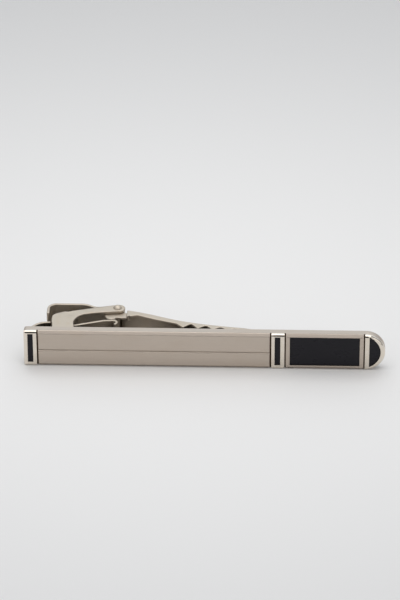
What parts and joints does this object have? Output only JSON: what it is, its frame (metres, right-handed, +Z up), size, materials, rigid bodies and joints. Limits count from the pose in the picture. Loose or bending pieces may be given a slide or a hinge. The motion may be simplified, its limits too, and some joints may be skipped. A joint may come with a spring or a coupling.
{
  "type": "tie bar",
  "caption": "Slim metal tie bar with dark inlays, a round tip and a sprung, toothed alligator clip on its back.",
  "frame": {"origin": "middle of the flat bottom edge that the bar stands on", "axes": "+X along the bar towards its round tip, -Y out of the decorated face, +Y towards the clip, +Z up across the bar"},
  "size_m": [0.058, 0.0101, 0.0064],
  "materials": {
    "satin_nickel": "satin, brushed along the bar",
    "polished_nickel": "polished plating",
    "clip_nickel": "bright tumbled plating",
    "black_enamel": "hard black enamel, semi-gloss"
  },
  "bodies": {
    "bar": {"backing_bar": "satin_nickel", "left_end_frame": "polished_nickel", "left_end_inlay": "black_enamel", "main_facing": "satin_nickel", "ring_frame": "polished_nickel", "ring_inlay": "black_enamel", "panel_frame": "satin_nickel", "panel_inlay": "black_enamel", "tip_frame": "polished_nickel", "tip_inlay": "black_enamel", "clip_bracket": "clip_nickel", "leaf_spring": "clip_nickel", "hinge_rivet": "clip_nickel"},
    "jaw": {"jaw": "clip_nickel"}
  },
  "joints": [
    {"name": "jaw_hinge", "type": "hinge", "parent": "bar", "child": "jaw", "pos_m": [-0.01432, 0.0079, 0.0032], "axis": [0, 0, 1], "range_deg": [0, 9], "stiffness_Nm_per_rad": 0.04, "springref_deg": -28.65, "deforming": ["leaf_spring"]}
  ]
}
